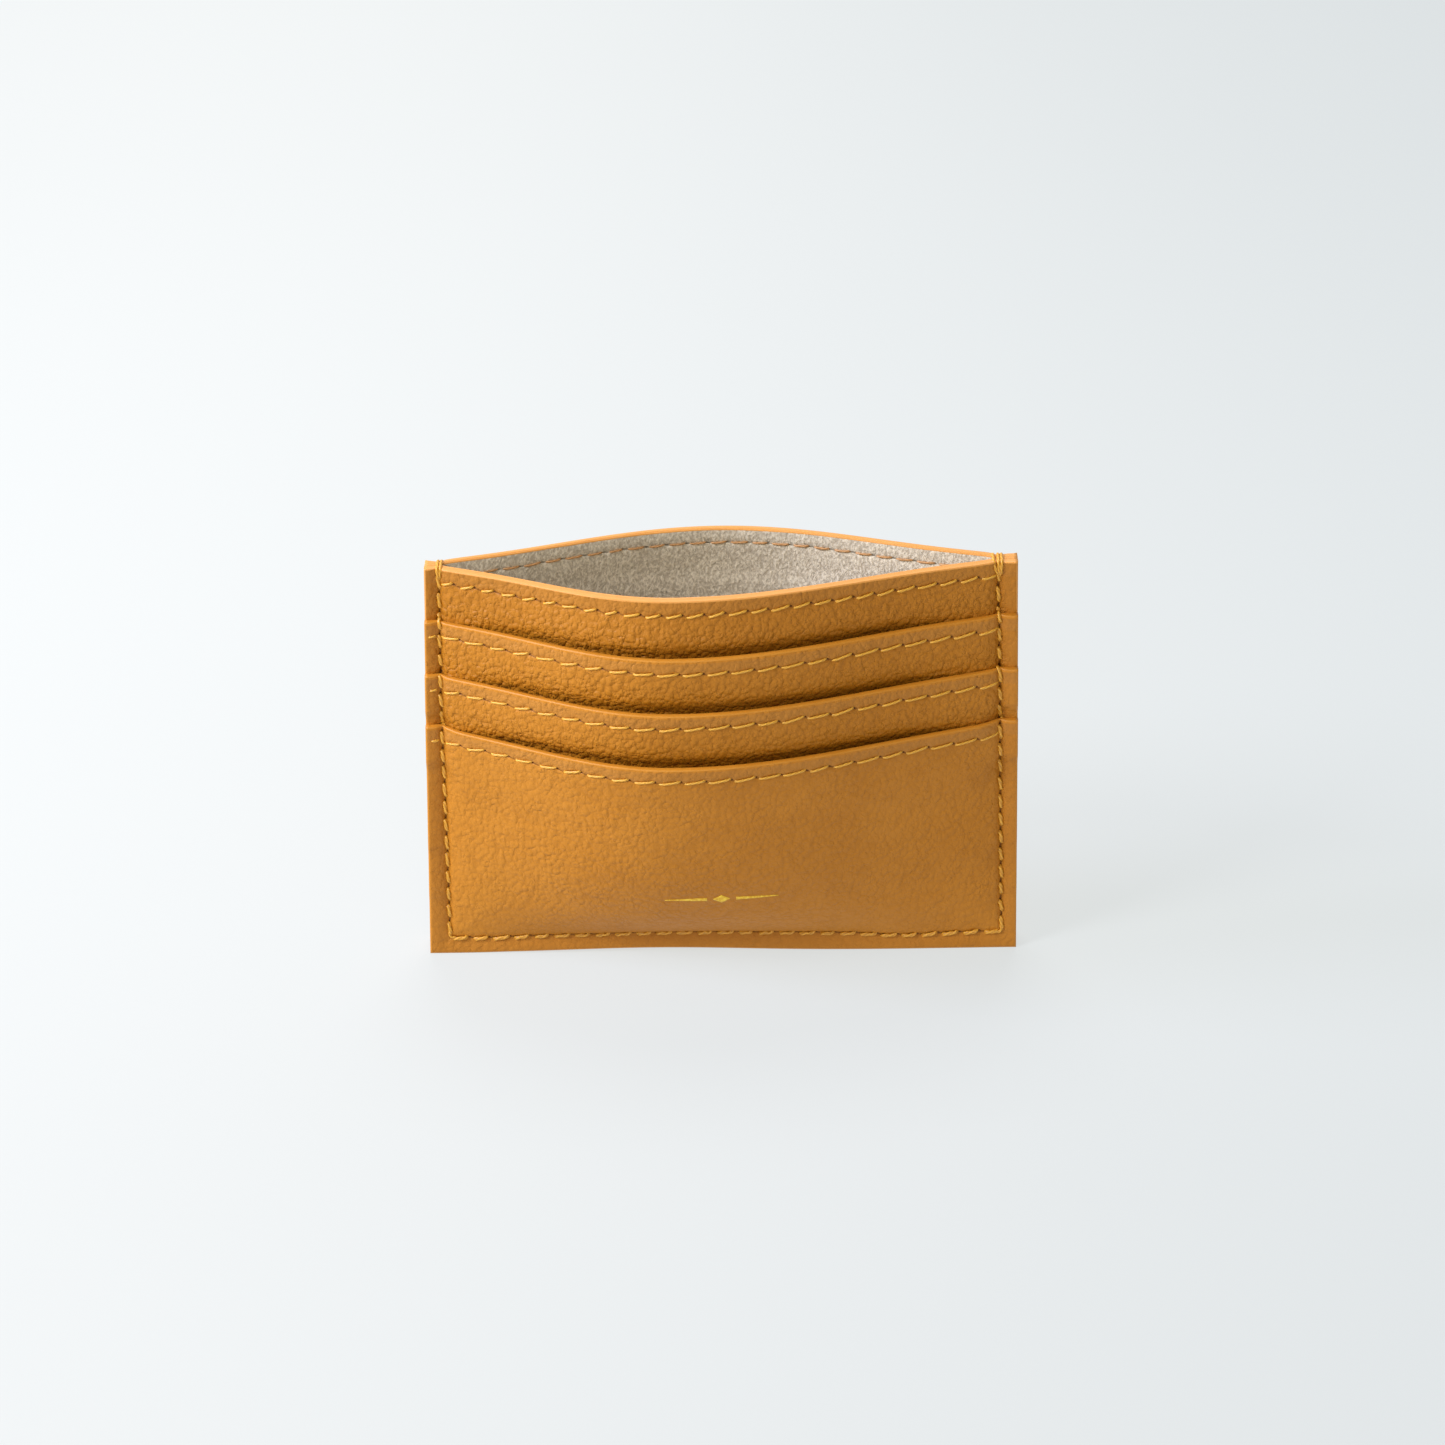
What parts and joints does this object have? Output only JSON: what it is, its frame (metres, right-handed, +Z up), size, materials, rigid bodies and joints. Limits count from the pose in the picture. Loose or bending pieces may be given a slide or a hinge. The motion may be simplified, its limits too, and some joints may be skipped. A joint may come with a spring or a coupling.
{
  "type": "card holder",
  "caption": "Slim open-topped leather card holder with stepped card pockets on both faces, a suede-lined middle compartment and contrast stitching.",
  "frame": {"origin": "centre of the footprint on the surface that the bottom edge stands on", "axes": "+X along the width to the viewer's right, the front face towards -Y, +Z up towards the mouth"},
  "size_m": [0.1, 0.0386, 0.0725],
  "materials": {
    "leather": "tan pebble-grained leather, satin, with painted edges one tone lighter",
    "suede_lining": "grey-beige suede, matt, short nap",
    "pocket_textile": "thin plain-woven pocketing",
    "thread": "twisted polyester thread, light gold",
    "gold_foil": "hot-stamped gold foil"
  },
  "bodies": {
    "root": {"front_lining": "suede_lining", "front_panel": "leather", "front_upper_pocket": "leather", "front_upper_pocket_textile": "pocket_textile", "front_middle_pocket": "leather", "front_middle_pocket_textile": "pocket_textile", "front_lower_pocket": "leather", "front_mouth_needle_thread": "thread", "front_mouth_bobbin_thread": "thread", "front_upper_pocket_thread": "thread", "front_middle_pocket_thread": "thread", "front_lower_pocket_thread": "thread", "front_seam_thread": "thread", "foil_ornament": "gold_foil", "back_lining": "suede_lining", "back_panel": "leather", "back_upper_pocket": "leather", "back_upper_pocket_textile": "pocket_textile", "back_middle_pocket": "leather", "back_middle_pocket_textile": "pocket_textile", "back_lower_pocket": "leather", "back_mouth_needle_thread": "thread", "back_mouth_bobbin_thread": "thread", "back_upper_pocket_thread": "thread", "back_middle_pocket_thread": "thread", "back_lower_pocket_thread": "thread", "back_seam_thread": "thread"}
  },
  "joints": []
}
